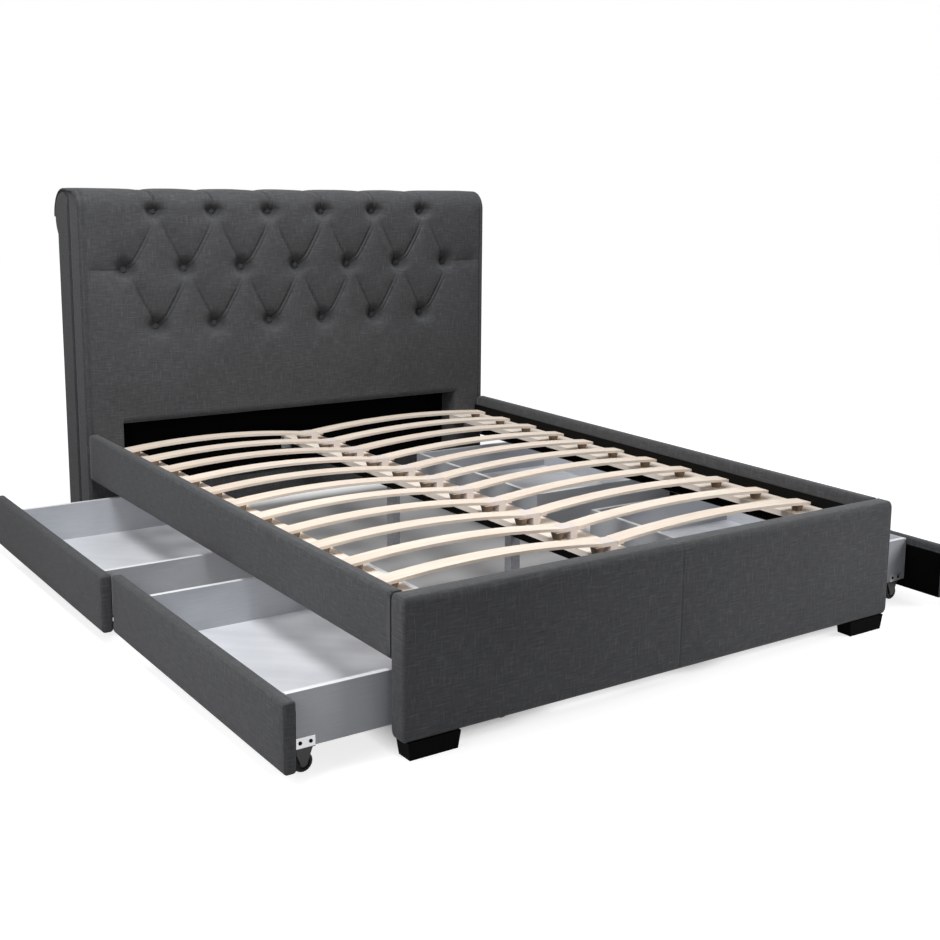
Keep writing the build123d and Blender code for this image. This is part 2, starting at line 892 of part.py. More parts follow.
# Headboard
save(headboard_core(), "headboard_core")
save(headboard_pad(), "headboard_pad")
save(headboard_buttons(), "headboard_buttons")
save(headboard_legs(), "headboard_legs")
save(
    board(
        (-recess_half_width, recess_half_width),
        (core_front - lower_panel_thickness, core_front),
        (lower_panel_bottom, recess_top),
    ),
    "headboard_lower_panel",
)
back_half_width = frame_half_width - back_panel_margin
back_panel_top = scroll_height - scroll_radius - back_panel_margin
save(
    board(
        (-back_half_width, back_half_width),
        (core_back, core_back + back_panel_thickness),
        (foot_height + back_panel_margin, back_panel_top),
    ),
    "headboard_back_panel",
)

# Frame and slat base
save(footboard(), "footboard")
save(front_feet(), "front_feet")
for side_name, side in SIDES.items():
    save(headboard_end(side), f"headboard_end_{side_name}")
    save(side_rail(side), f"side_rail_{side_name}")
    save(rail_ledge(side), f"rail_ledge_{side_name}")
    strip_range = (side * strip_outer, side * (strip_outer - strip_width))
    save(slat_strip(strip_range, side_strip_top), f"slat_strip_{side_name}")
    save(slats(side), f"slats_{side_name}")
centre_range = (centre_strip_place - strip_width / 2, centre_strip_place + strip_width / 2)
save(slat_strip(centre_range, centre_strip_top), "slat_strip_centre")
save(slat_holders(), "slat_holders")
save(slat_caps(), "slat_caps")
beam_range = (-beam_width / 2, beam_width / 2)
save(board(beam_range, beam_ends(), (beam_bottom, centre_strip_bottom)), "centre_beam")
save(beam_hangers(), "beam_hangers")
save(centre_legs(), "centre_legs")
save(centre_leg_pads(), "centre_leg_pads")
save(corner_brackets(), "corner_brackets")
save(corner_bolts(), "corner_bolts")

# Drawers
for side_name, end_name in DRAWERS_OPEN:
    Drawer(side_name, end_name).save_all()
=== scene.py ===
"""Looks of the upholstered platform bed: cloth, wood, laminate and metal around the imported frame.

Metres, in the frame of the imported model: +Z up, +Y from the foot to the head, +X to the right.
"""

import math

import bmesh
import bpy
import numpy as np
from mathutils import Matrix, Vector, noise


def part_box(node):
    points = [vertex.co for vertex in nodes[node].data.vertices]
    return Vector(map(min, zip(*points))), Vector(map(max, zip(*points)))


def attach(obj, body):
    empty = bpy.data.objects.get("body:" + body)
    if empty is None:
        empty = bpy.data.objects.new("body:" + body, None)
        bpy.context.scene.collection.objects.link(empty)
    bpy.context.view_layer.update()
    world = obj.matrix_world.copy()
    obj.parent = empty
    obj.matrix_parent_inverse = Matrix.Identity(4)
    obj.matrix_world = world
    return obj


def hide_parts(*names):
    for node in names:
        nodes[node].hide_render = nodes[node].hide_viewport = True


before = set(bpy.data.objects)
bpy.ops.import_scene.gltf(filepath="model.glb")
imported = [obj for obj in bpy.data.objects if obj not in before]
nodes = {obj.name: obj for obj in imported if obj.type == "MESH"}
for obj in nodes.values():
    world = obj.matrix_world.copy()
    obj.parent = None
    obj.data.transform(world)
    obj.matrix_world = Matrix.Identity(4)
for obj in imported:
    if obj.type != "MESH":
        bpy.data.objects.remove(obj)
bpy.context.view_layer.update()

SIDES = {"left": -1, "right": 1}
ENDS = ("foot", "head")
DRAWERS = [(side, end) for side in SIDES for end in ENDS]

# Camera of the photograph
CAMERA_PLACE = (-2.199, -3.562, 1.286)
CAMERA_YAW = math.radians(36.55)
CAMERA_PITCH = math.radians(-10.13)
CAMERA_ROLL = math.radians(1.07)
CAMERA_LENS = 51.02
CAMERA_SHIFT = (-0.0794, -0.0649)
CAMERA_SENSOR = 36.0
CAMERA_REACH = 60.0

# Headboard pad, as in the solids
BUTTON_PITCH = 0.214
PITCH_MARGIN = 0.01
BUTTON_ROWS = (6, 7, 6)
TOP_ROW_DROP = 0.075
ROW_DROP = 0.199
TOP_RADIUS = 0.070
ROLL_RADIUS = 0.100
CORE_RADIUS = 0.0884

# Dimples, folds and creases of the pad
SEAT_RADIUS = 0.013
SEAT_DEPTH = 0.052
BUTTON_RADIUS = 0.0110
BUTTON_RISE = 0.004
BUTTON_SIDES = 28
BUTTON_RINGS = 8
BUTTON_TOP_DEGREES = 4
DIMPLE_DEPTH = 0.026
DIMPLE_REACH = (0.022, 0.056)
PIT_REACH = (0.011, 0.027)
DIMPLE_LEAN = math.radians(150)
LEAN_POWER = 1.5
DIMPLE_FLARE = 1.15
FOLD_SEED = 4
LEFT_BOW = (0.002, 0.007)
RIGHT_BOW = (0.001, 0.006)
LEFT_FOLD_DEPTH = 0.020
RIGHT_FOLD_DEPTH = 0.014
FOLD_END_SHARE = 0.5
FOLD_FADE = (0.55, 0.85)
FOLD_SHARPNESS = (0.6, 1.0)
TOP_FOLD_DEPTH = 0.014
TOP_FOLD_END_SHARE = 0.35
TOP_FOLD_LEAN = (-0.06, -0.02)
TOP_FOLD_MARGIN = 0.02
TOP_FOLD_SHARPNESS = 1.8
FAINT_FOLD = 0.24
FAINT_LEAN = (-0.008, 0.008)
FAINT_DEPTH = 0.005
SIDE_FOLD_DEPTH = 0.017
SIDE_FOLD_END_SHARE = 0.6
SIDE_FOLD_RISE = 0.004
SIDE_FOLD_SHARPNESS = 0.3
SHORT_FOLD = (0.035, 0.055)
SHORT_TURN = (0.15, 0.6)
SHORT_BOW = 0.003
SHORT_DEPTHS = (0.006, 0.001)
SHORT_SHARPNESS = (0.2, 0.6)
VALLEY_REACH = 0.030
VALLEY_FLARE = 1.4
VALLEY_BLEND = 3
CREASE_HALF = 0.0031
CREASE_REACH = 8 * CREASE_HALF
CREASE_DEPTH = 0.0075
CREASE_START = 1 / 16
LIP_PLACE = 0.011
LIP_SHARE = 0.3
SECOND_CREASE = 0.6
RIPPLE = 0.0010
RIPPLE_SCALE = 9
EDGE_FADE = 0.03

# Cloth of the pad: what holds it and how it swells
FOLD_HOLD = 0.9
STILL_RUN = 0.42
PAD_PRESSURE = 4.0
PAD_FRAMES = 20
SWELL_CAP = 0.014
SMOOTH_PASSES = 3
COARSE_STEPS = (0.026, 0.013)
FINE_STEPS = (0.012, 0.0034)
TUFT_RUN = 0.56

# Edges and seams of the padded pieces
ON_FACE = 1e-4
SIDE_RADIUS = 0.014
SIDE_RADIUS_SHARE = 0.45
SIDE_TURNS = np.radians((22.5, 45.0, 67.5, 90.0))
RECESS_RADIUS = 0.012
SEAM_GROOVE = 0.011
FRONT_SEAM = (0.003, 0.0035, 0.008)
SEAM_SPREAD = 0.05
BAND_SETBACK = 0.004
BAND_START = 0.1
BAND_LIMIT = 0.3
BAND_SHARES = (0.05, 0.1, 0.18, 0.3, 0.45, 0.6, 0.75, 0.82, 0.88, 0.92, 0.96, 1.0)
SEAM_HALF = 0.003
SEAM_DEPTH = 0.0013
CROWN = 0.003
CROWN_POWER = 8
BOARD_STEP = 0.02
FOOTBOARD_ROUNDING = (0.007, 0.012, 0.022)
RAIL_ROUNDING = (0.010, 0.0, 0.012)
FRONT_ROUNDING = (0.009, 0.006, 0.009)
END_RADIUS = 0.008
END_RINGS = 6
SCROLL_POINTS = 60
OUTLINE_STEP = 0.03
LINING_TOP = 0.332
CLOTH_RETURN = 0.022


class Nodes:
    """A node tree, with short calls that add and link its nodes."""

    def __init__(self, tree):
        self.tree = tree

    def node(self, kind, *inputs, **settings):
        """Add a node; inputs are values or links for its sockets in order, None leaves one alone."""
        made = self.tree.nodes.new("ShaderNode" + kind)
        for name, value in settings.items():
            setattr(made, name, value)
        for socket, value in zip(made.inputs, inputs):
            self.feed(socket, value)
        return made

    def feed(self, socket, value):
        """Link or set one socket."""
        if value is None:
            return
        if isinstance(value, bpy.types.NodeSocket):
            self.tree.links.new(value, socket)
        else:
            socket.default_value = value

    def math(self, operation, *values):
        return self.node("Math", *values, operation=operation).outputs[0]


class Shader(Nodes):
    """A material and its node tree, with calls for the patterns that the finishes use."""

    def __init__(self, name, sockets):
        self.material = bpy.data.materials.new(name)
        self.material.use_nodes = True
        super().__init__(self.material.node_tree)
        self.surface = self.tree.nodes["Principled BSDF"]
        for socket, value in sockets.items():
            self.surface.inputs[socket].default_value = value

    def place(self):
        """Position in the frame, as X, Y and Z."""
        coordinates = self.node("TexCoord").outputs["Object"]
        return self.node("SeparateXYZ", coordinates).outputs

    def facing(self):
        """Size of the surface normal's X, Y and Z parts."""
        normal = self.node("SeparateXYZ", self.node("NewGeometry").outputs["Normal"])
        return [self.math("ABSOLUTE", part) for part in normal.outputs]

    def choose(self, share, low, high):
        """Blend two numbers."""
        mix = self.node("Mix", data_type="FLOAT")
        self.feed(mix.inputs[0], share)
        self.feed(mix.inputs[2], low)
        self.feed(mix.inputs[3], high)
        return mix.outputs[0]

    def streaks(self, first, second, scales, detail=2.0, third=0.0):
        """Noise stretched along two directions; scales are in features per metre."""
        vector = self.node(
            "CombineXYZ",
            self.math("MULTIPLY", first, scales[0]),
            self.math("MULTIPLY", second, scales[1]),
            third,
        )
        grain = self.node("TexNoise", noise_dimensions="3D")
        self.feed(grain.inputs["Vector"], vector.outputs[0])
        self.feed(grain.inputs["Scale"], 1.0)
        self.feed(grain.inputs["Detail"], detail)
        return grain.outputs[0]

    def ramp(self, factor, *stops):
        """Colour ramp of (place, colour) stops."""
        made = self.node("ValToRGB", factor)
        band = made.color_ramp
        while len(band.elements) < len(stops):
            band.elements.new(0.5)
        for element, (place, colour) in zip(band.elements, stops):
            element.position = place
            element.color = (*colour, 1.0)
        return made.outputs[0]

    def mix(self, share, low, high, blend="MIX"):
        """Blend two colours."""
        made = self.node("Mix", data_type="RGBA", blend_type=blend)
        self.feed(made.inputs[0], share)
        self.feed(made.inputs[6], low)
        self.feed(made.inputs[7], high)
        return made.outputs[2]

    def bump(self, height, depth, strength=1.0):
        """Bump of a real depth."""
        made = self.node("Bump")
        self.feed(made.inputs["Strength"], strength)
        self.feed(made.inputs["Distance"], depth)
        self.feed(made.inputs["Height"], height)
        self.tree.links.new(made.outputs[0], self.surface.inputs["Normal"])

    def colour(self, value):
        self.feed(self.surface.inputs["Base Color"], value)


# Finishes
def cloth(name, shades):
    """Linen-look weave: thin threads both ways, with thicker slubs here and there."""
    shader = Shader(
        name, {"Roughness": 0.92, "Sheen Weight": 0.12, "Sheen Roughness": 0.45, "Specular IOR Level": 0.2}
    )
    x, y, z = shader.place()
    side, _, top = shader.facing()
    across = shader.choose(shader.math("GREATER_THAN", side, 0.6), x, y)
    along = shader.choose(shader.math("GREATER_THAN", top, 0.75), z, y)
    weft = shader.streaks(across, along, (24.0, 420.0), 3.0)
    warp = shader.streaks(across, along, (420.0, 30.0), 3.0, third=5.0)
    fine = shader.streaks(across, along, (700.0, 700.0), 1.0, third=9.0)
    broad = shader.streaks(across, along, (3.0, 3.0), 2.0, third=2.0)
    threads = shader.math("ADD", shader.math("MULTIPLY", weft, 0.5), shader.math("MULTIPLY", warp, 0.3))
    threads = shader.math("ADD", threads, shader.math("MULTIPLY", fine, 0.2))
    tone = shader.ramp(threads, (0.36, shades[0]), (0.5, shades[1]), (0.66, shades[2]))
    thick_weft = shader.streaks(across, along, (26.0, 200.0), 1.5, third=12.0)
    thick_warp = shader.streaks(across, along, (200.0, 26.0), 1.5, third=15.0)
    slubs = shader.node("MapRange", shader.math("MAXIMUM", thick_weft, thick_warp), 0.57, 0.74, 0.0, 0.42)
    tone = shader.mix(slubs.outputs[0], tone, (*[1.5 * part for part in shades[2]], 1.0))
    thin = shader.node("MapRange", shader.math("MINIMUM", thick_weft, thick_warp), 0.30, 0.43, 0.3, 0.0)
    tone = shader.mix(thin.outputs[0], tone, (*[0.7 * part for part in shades[0]], 1.0))
    worn = shader.ramp(broad, (0.3, (0.93, 0.93, 0.93)), (0.7, (1.05, 1.05, 1.05)))
    tone = shader.mix(1.0, tone, worn, "MULTIPLY")
    shader.colour(tone)
    shader.bump(threads, 0.0009, 0.8)
    return shader.material


def lining(name, shade):
    """Thin black non-woven lining."""
    shader = Shader(name, {"Roughness": 0.95, "Specular IOR Level": 0.03})
    x, y, z = shader.place()
    fibres = shader.streaks(shader.math("ADD", x, y), z, (260.0, 260.0), 4.0)
    shader.colour(shader.ramp(fibres, (0.3, shade), (0.7, [2.2 * part for part in shade])))
    shader.bump(fibres, 0.0004, 0.5)
    return shader.material


def wood(name, shades, lengthwise, roughness=0.55):
    """Pale timber with its grain along X, or along Y where lengthwise."""
    shader = Shader(name, {"Roughness": roughness, "Specular IOR Level": 0.35})
    x, y, z = shader.place()
    run, cross = (y, x) if lengthwise else (x, y)
    across = shader.math("ADD", cross, shader.math("MULTIPLY", z, 0.6))
    grain = shader.streaks(run, across, (5.0, 170.0), 4.0)
    pores = shader.streaks(run, across, (22.0, 900.0), 2.0, third=4.0)
    piece = shader.streaks(run, across, (0.4, 7.0), 1.0, third=8.0)
    figure = shader.math("ADD", shader.math("MULTIPLY", grain, 0.65), shader.math("MULTIPLY", pores, 0.35))
    tone = shader.ramp(figure, (0.34, shades[0]), (0.5, shades[1]), (0.62, shades[2]))
    board = shader.ramp(piece, (0.3, (0.9, 0.88, 0.85)), (0.7, (1.04, 1.04, 1.03)))
    shader.colour(shader.mix(1.0, tone, board, "MULTIPLY"))
    shader.bump(figure, 0.0004, 0.6)
    return shader.material


def laminate(name, shades, edge=None):
    """Satin silver-grey board; where a colour is given, the faces that point up are painted in it, a painted
    highlight on the top edges.
    """
    shader = Shader(name, {"Roughness": 0.42, "Specular IOR Level": 0.4})
    x, y, z = shader.place()
    sheen = shader.streaks(shader.math("ADD", x, y), z, (14.0, 300.0), 3.0)
    cloud = shader.streaks(x, y, (4.0, 4.0), 3.0, third=3.0)
    tone = shader.ramp(
        shader.math("ADD", shader.math("MULTIPLY", sheen, 0.4), shader.math("MULTIPLY", cloud, 0.6)),
        (0.35, shades[0]),
        (0.65, shades[1]),
    )
    # Faces that point up are painted paler: a painted highlight along the boards' top edges.
    if edge:
        up = shader.math("GREATER_THAN", shader.facing()[2], 0.8)
        tone = shader.mix(up, tone, (*edge, 1.0))
    shader.colour(tone)
    shader.bump(sheen, 0.0003, 0.4)
    return shader.material


def metal(name, shade, roughness, brushed=0.15):
    """Plated or painted steel with faint rolling marks."""
    shader = Shader(name, {"Metallic": 1.0, "Roughness": roughness})
    x, y, z = shader.place()
    marks = shader.streaks(shader.math("ADD", x, y), z, (60.0, 900.0), 3.0)
    low = [part * (1 - brushed) for part in shade]
    shader.colour(shader.ramp(marks, (0.3, low), (0.7, shade)))
    shader.bump(marks, 0.0002, 0.4)
    return shader.material


def bracket(name, plate, cheek, plate_bottom):
    """Wheel bracket: a plated side plate, and black cheeks below it."""
    shader = Shader(name, {"Roughness": 0.42})
    x, y, z = shader.place()
    marks = shader.streaks(shader.math("ADD", x, y), z, (60.0, 900.0), 3.0)
    plated = shader.math("GREATER_THAN", z, plate_bottom)
    steel = shader.ramp(marks, (0.3, [0.85 * part for part in plate]), (0.7, plate))
    shader.colour(shader.mix(plated, (*cheek, 1.0), steel))
    shader.feed(shader.surface.inputs["Metallic"], plated)
    shader.bump(marks, 0.0002, 0.4)
    return shader.material


def paint(name, shade, roughness, grain=(150.0, 150.0), depth=0.0002, spread=1.5, shine=0.4):
    """Paint, plastic or rubber with a fine moulded or sprayed texture."""
    shader = Shader(name, {"Roughness": roughness, "Specular IOR Level": shine})
    x, y, z = shader.place()
    texture = shader.streaks(shader.math("ADD", x, y), z, grain, 4.0)
    high = [part * spread for part in shade]
    shader.colour(shader.ramp(texture, (0.3, shade), (0.75, high)))
    shader.bump(texture, depth, 0.6)
    return shader.material


BLACK_SHADE = (0.004, 0.004, 0.004)
ZINC_SHADE = (0.62, 0.63, 0.64)
CLOTH_SHADES = np.array(((0.050, 0.051, 0.054), (0.064, 0.0655, 0.069), (0.082, 0.085, 0.089)))
SLAT_SHADES = ((0.72, 0.60, 0.50), (0.79, 0.69, 0.60), (0.83, 0.75, 0.67))
STRIP_SHADES = ((0.82, 0.71, 0.62), (0.87, 0.79, 0.71), (0.90, 0.83, 0.77))
BOX_SIDE_SHADES = ((0.40, 0.415, 0.445), (0.48, 0.495, 0.53))
# Paler colour for the box boards' upward faces: a painted highlight on their top edges.
BOX_TOP_PAINTED_HIGHLIGHT = (0.78, 0.79, 0.81)
CLOTH = cloth("charcoal_cloth", CLOTH_SHADES)
# The scroll ends take the charcoal cloth at 0.74 of its shades: a painted shade on the same cloth.
END_CLOTH_PAINTED_SHADE = cloth("charcoal_cloth_painted_shade", 0.74 * CLOTH_SHADES)
LINING = lining("black_lining", (0.0015, 0.0015, 0.0016))
SLAT_WOOD = wood("slat_birch", SLAT_SHADES, lengthwise=False)
STRIP_WOOD = wood("strip_birch", STRIP_SHADES, lengthwise=True)
HOLDER = paint("holder_brown", (0.17, 0.120, 0.080), 0.6)
CAP = paint("cap_plastic", (0.70, 0.63, 0.59), 0.6, spread=1.06, depth=0.00005, shine=0.2)
BOX_SIDE = laminate("box_side_laminate", BOX_SIDE_SHADES, BOX_TOP_PAINTED_HIGHLIGHT)
BOX_FLOOR = laminate("box_floor_laminate", ((0.66, 0.68, 0.72), (0.80, 0.82, 0.86)))
ZINC = metal("zinc", ZINC_SHADE, 0.4)
BRACKET = bracket("wheel_bracket", ZINC_SHADE, BLACK_SHADE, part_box("drawer_left_foot_bottom")[0][2])
BLACK_STEEL = paint("black_steel", (0.003, 0.003, 0.003), 0.6, shine=0.06)
GREY_STEEL = paint("grey_steel", (0.27, 0.28, 0.30), 0.45)
BLACK_WOOD = paint("black_wood", (0.0010, 0.0010, 0.0011), 0.7, grain=(12.0, 260.0), shine=0.03)
BLACK_PLASTIC = paint("black_plastic", BLACK_SHADE, 0.5, shine=0.2)

NODE_FINISHES = {
    "headboard_back_panel": LINING,
    "headboard_lower_panel": LINING,
    "headboard_legs": BLACK_WOOD,
    "headboard_core": CLOTH,
    "headboard_buttons": CLOTH,
    "headboard_end_left": END_CLOTH_PAINTED_SHADE,
    "headboard_end_right": END_CLOTH_PAINTED_SHADE,
    "headboard_pad": CLOTH,
    "footboard": CLOTH,
    "side_rail_left": CLOTH,
    "side_rail_right": CLOTH,
    "front_feet": BLACK_WOOD,
    "rail_ledge_left": BLACK_STEEL,
    "rail_ledge_right": BLACK_STEEL,
    "slat_strip_left": STRIP_WOOD,
    "slat_strip_centre": STRIP_WOOD,
    "slat_strip_right": STRIP_WOOD,
    "slats_left": SLAT_WOOD,
    "slats_right": SLAT_WOOD,
    "slat_holders": HOLDER,
    "slat_caps": CAP,
    "centre_beam": BLACK_STEEL,
    "beam_hangers": ZINC,
    "centre_legs": GREY_STEEL,
    "centre_leg_pads": BLACK_PLASTIC,
    "corner_brackets": ZINC,
    "corner_bolts": ZINC,
}
DRAWER_FINISHES = {
    "front": CLOTH,
    "side_foot": BOX_SIDE,
    "side_head": BOX_SIDE,
    "back": BOX_SIDE,
    "bottom": BOX_FLOOR,
    "brackets": BRACKET,
    "wheels_outer": BLACK_PLASTIC,
    "wheels_inner": BLACK_PLASTIC,
}
for side, end in DRAWERS:
    for piece, finish in DRAWER_FINISHES.items():
        NODE_FINISHES[f"drawer_{side}_{end}_{piece}"] = finish
for name, finish in NODE_FINISHES.items():
    nodes[name].data.materials.clear()
    nodes[name].data.materials.append(finish)


# Shapes
def add_piece(name, points, faces, body, finishes, replaced=(), finish_of=None, flat=()):
    """Make a mesh piece that rides on a body; finish_of gives a finish's index for each face."""
    mesh = bpy.data.meshes.new(name)
    mesh.from_pydata([tuple(point) for point in points], [], faces)
    for finish in finishes:
        mesh.materials.append(finish)
    smooth = np.ones(len(faces), bool)
    smooth[list(flat)] = False
    mesh.polygons.foreach_set("use_smooth", smooth)
    if finish_of is not None:
        mesh.polygons.foreach_set("material_index", np.asarray(finish_of, np.int32))
    shell = bmesh.new()
    shell.from_mesh(mesh)
    loose = [vertex for vertex in shell.verts if not vertex.link_faces]
    bmesh.ops.delete(shell, geom=loose, context="VERTS")
    bmesh.ops.recalc_face_normals(shell, faces=shell.faces)
    shell.to_mesh(mesh)
    shell.free()
    piece = bpy.data.objects.new(name, mesh)
    bpy.context.scene.collection.objects.link(piece)
    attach(piece, body)
    if replaced:
        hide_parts(*replaced)
    return piece


def steps(start, end, step):
    """Even places from start to end, about a step apart."""
    return np.linspace(start, end, max(2, round(abs(end - start) / step) + 1))


def board_places(low, high, radius, step, seams, cuts):
    """Places along one side of a padded board: close at its edges and seams, and one at each cut."""
    near = radius * np.array((0.0, 0.25, 0.5, 0.75)) if radius else np.zeros(1)
    places = [low + near, steps(low + radius, high - radius, step), high - near]
    places += [seam + SEAM_HALF * np.linspace(-2, 2, 9) for seam in seams]
    return np.unique(np.round(np.concatenate((*places, cuts)), 5))


def box_surface(places):
    """Points and quads of a box's surface, on a lattice of the places along its three sides."""
    last = [len(side) - 1 for side in places]
    numbers = {}
    faces = []
    for axis in range(3):
        first, second = (axis + 1) % 3, (axis + 2) % 3
        for end in (0, last[axis]):
            for i in range(last[first]):
                for j in range(last[second]):
                    quad = []
                    for step_i, step_j in ((0, 0), (1, 0), (1, 1), (0, 1)):
                        corner = [0, 0, 0]
                        corner[axis], corner[first], corner[second] = end, i + step_i, j + step_j
                        quad.append(numbers.setdefault(tuple(corner), len(numbers)))
                    faces.append(quad)
    corners = np.array(list(numbers))
    points = np.stack([np.asarray(side)[corners[:, axis]] for axis, side in enumerate(places)], axis=1)
    return points, faces


def padded_board(name, body, rounding, crown, seams=(), cuts=(), finish_of=None, step=BOARD_STEP):
    """Board wrapped in padded cloth: rounded edges, a soft crown on its outer face and sewn seams.

    rounding is how far the rounded edges reach along X, Y and Z. crown is the axis and the direction of
    the outer face. Each seam or cut between finishes is an axis and a place, and finish_of gives the
    finish's index from the middles of the faces.
    """
    low, high = [np.array(corner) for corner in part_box(name)]
    places = []
    for axis in range(3):
        sewn = [place for along, place in seams if along == axis]
        cut = [place for along, place in cuts if along == axis]
        places.append(board_places(low[axis], high[axis], rounding[axis], step, sewn, cut))
    points, faces = box_surface(places)
    flat = points.copy()
    inner = np.clip(points, low + rounding, high - rounding)
    away = (points - inner) / np.maximum(rounding, 1e-9)
    length = np.linalg.norm(away, axis=1, keepdims=True)
    points = inner + away / np.maximum(length, 1e-9) * rounding
    axis, direction = crown
    outer = high[axis] if direction > 0 else low[axis]
    on_face = np.abs(flat[:, axis] - outer) < ON_FACE
    share = (flat - low) / (high - low)
    swell = np.full(len(points), CROWN)
    for other in {0, 1, 2} - {axis}:
        swell *= 1 - (2 * share[:, other] - 1) ** CROWN_POWER
    for along, place in seams:
        swell -= SEAM_DEPTH * np.exp(-(((flat[:, along] - place) / SEAM_HALF) ** 2))
    points[on_face, axis] += direction * swell[on_face]
    middles = np.array([flat[face].mean(axis=0) for face in faces])
    add_piece(
        f"{name}_cloth", points, faces, body, (CLOTH, LINING, BOX_FLOOR), [name],
        finish_of(middles),
    )


# Headboard pad
pad_low, pad_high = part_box("headboard_pad")
HALF_WIDTH = pad_high[0]
PAD_FRONT, PAD_BOTTOM, PAD_TOP = pad_low[1], pad_low[2], pad_high[2]
CORE_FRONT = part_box("headboard_lower_panel")[1][1]
ROLL_Y, ROLL_Z = pad_high[1] - ROLL_RADIUS, PAD_TOP - ROLL_RADIUS
PANEL_HALF, PANEL_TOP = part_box("headboard_lower_panel")[1][0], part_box("headboard_lower_panel")[1][2]
SHOULDER = PAD_TOP - TOP_RADIUS
FRONT_RUN = SHOULDER - PAD_BOTTOM
BEND_RUN = TOP_RADIUS * math.pi / 2
CREST_RUN = ROLL_Y - PAD_FRONT - TOP_RADIUS
ROLL_RUN = ROLL_RADIUS * math.pi / 2
PAD_RUN = FRONT_RUN + BEND_RUN + CREST_RUN + ROLL_RUN
RECESS_RUN = PANEL_TOP - PAD_BOTTOM


def pad_profile(run):
    """Side profile at distances up the pad's front and over its top: front, outward direction, back."""
    bend = np.clip((run - FRONT_RUN) / TOP_RADIUS, 0, math.pi / 2)
    crest = np.clip(run - FRONT_RUN - BEND_RUN, 0, CREST_RUN)
    roll = np.clip((run - FRONT_RUN - BEND_RUN - CREST_RUN) / ROLL_RADIUS, 0, math.pi / 2)
    y = PAD_FRONT + TOP_RADIUS * (1 - np.cos(bend)) + crest + ROLL_RADIUS * np.sin(roll)
    z = PAD_BOTTOM + np.minimum(run, FRONT_RUN) + TOP_RADIUS * np.sin(bend)
    z -= ROLL_RADIUS * (1 - np.cos(roll))
    out_y = -np.cos(bend) + np.sin(roll)
    out_z = np.sin(bend) - (1 - np.cos(roll))
    start = math.acos((CORE_FRONT - ROLL_Y) / CORE_RADIUS)
    meet = ROLL_Z + CORE_RADIUS * math.sin(start)
    turn = start * (1 - np.clip((run - FRONT_RUN - BEND_RUN) / (CREST_RUN + ROLL_RUN), 0, 1))
    over = run > FRONT_RUN + BEND_RUN
    rise = PAD_BOTTOM + np.minimum(run, FRONT_RUN) + bend / (math.pi / 2) * (meet - SHOULDER)
    back_y = np.where(over, ROLL_Y + CORE_RADIUS * np.cos(turn), CORE_FRONT)
    back_z = np.where(over, ROLL_Z + CORE_RADIUS * np.sin(turn), rise)
    return np.stack((y, z)), np.stack((out_y, out_z)), np.stack((back_y, back_z))


def button_rows():
    """Places of the buttons as X and distance up the pad, row by row from the top."""
    top = PAD_TOP - TOP_ROW_DROP - PAD_BOTTOM
    return [
        [((i - (count - 1) / 2) * BUTTON_PITCH, top - row * ROW_DROP) for i in range(count)]
        for row, count in enumerate(BUTTON_ROWS)
    ]


def folds():
    """Every fold: start, end, bow, depth at its start and end, and how sharp its crease is."""
    top, middle, bottom = button_rows()
    spread = np.random.default_rng(FOLD_SEED)
    found = []
    for upper, lower in ((top, middle), (middle, bottom)):
        for low_x, low_run in lower:
            for up_x, up_run in upper:
                if abs(abs(up_x - low_x) - BUTTON_PITCH / 2) < PITCH_MARGIN:
                    away = 1 if up_x > low_x else -1
                    bow = away * spread.uniform(*(RIGHT_BOW if away > 0 else LEFT_BOW))
                    deep = RIGHT_FOLD_DEPTH if away > 0 else LEFT_FOLD_DEPTH
                    sharp = spread.uniform(*FOLD_SHARPNESS)
                    found.append(((low_x, low_run), (up_x, up_run), bow, deep, FOLD_END_SHARE * deep, sharp))
    shallow = TOP_FOLD_END_SHARE * TOP_FOLD_DEPTH
    for x, run in top:
        end = (x + spread.uniform(*TOP_FOLD_LEAN), PAD_RUN - TOP_FOLD_MARGIN)
        found.append(((x, run), end, 0.0, TOP_FOLD_DEPTH, shallow, TOP_FOLD_SHARPNESS))
    for x, run in top + middle:
        length, turn = spread.uniform(*SHORT_FOLD), spread.uniform(*SHORT_TURN)
        end = (x + length * math.cos(turn), run + length * math.sin(turn))
        found.append(((x, run), end, SHORT_BOW, *SHORT_DEPTHS, spread.uniform(*SHORT_SHARPNESS)))
    for x, run in bottom:
        end = (x + spread.uniform(*FAINT_LEAN), run - FAINT_FOLD)
        found.append(((x, run), end, 0.0, FAINT_DEPTH, 0.0, 0.0))
    shallow = SIDE_FOLD_END_SHARE * SIDE_FOLD_DEPTH
    for (x, run), edge in ((middle[0], -HALF_WIDTH), (middle[-1], HALF_WIDTH)):
        end = (edge, run + SIDE_FOLD_RISE)
        found.append(((x, run), end, 0.0, SIDE_FOLD_DEPTH, shallow, SIDE_FOLD_SHARPNESS))
    return found


def along_fold(x, run, start, end, bow):
    """Share of the way along a fold, distance from it and distance to one side of it."""
    step = np.subtract(end, start)
    length = np.hypot(*step)
    ahead = ((x - start[0]) * step[0] + (run - start[1]) * step[1]) / length**2
    aside = ((x - start[0]) * step[1] - (run - start[1]) * step[0]) / length
    share = np.clip(ahead, 0, 1)
    aside -= 4 * bow * share * (1 - share)
    beyond = np.abs(ahead - share) * length
    return share, np.hypot(aside, beyond), aside


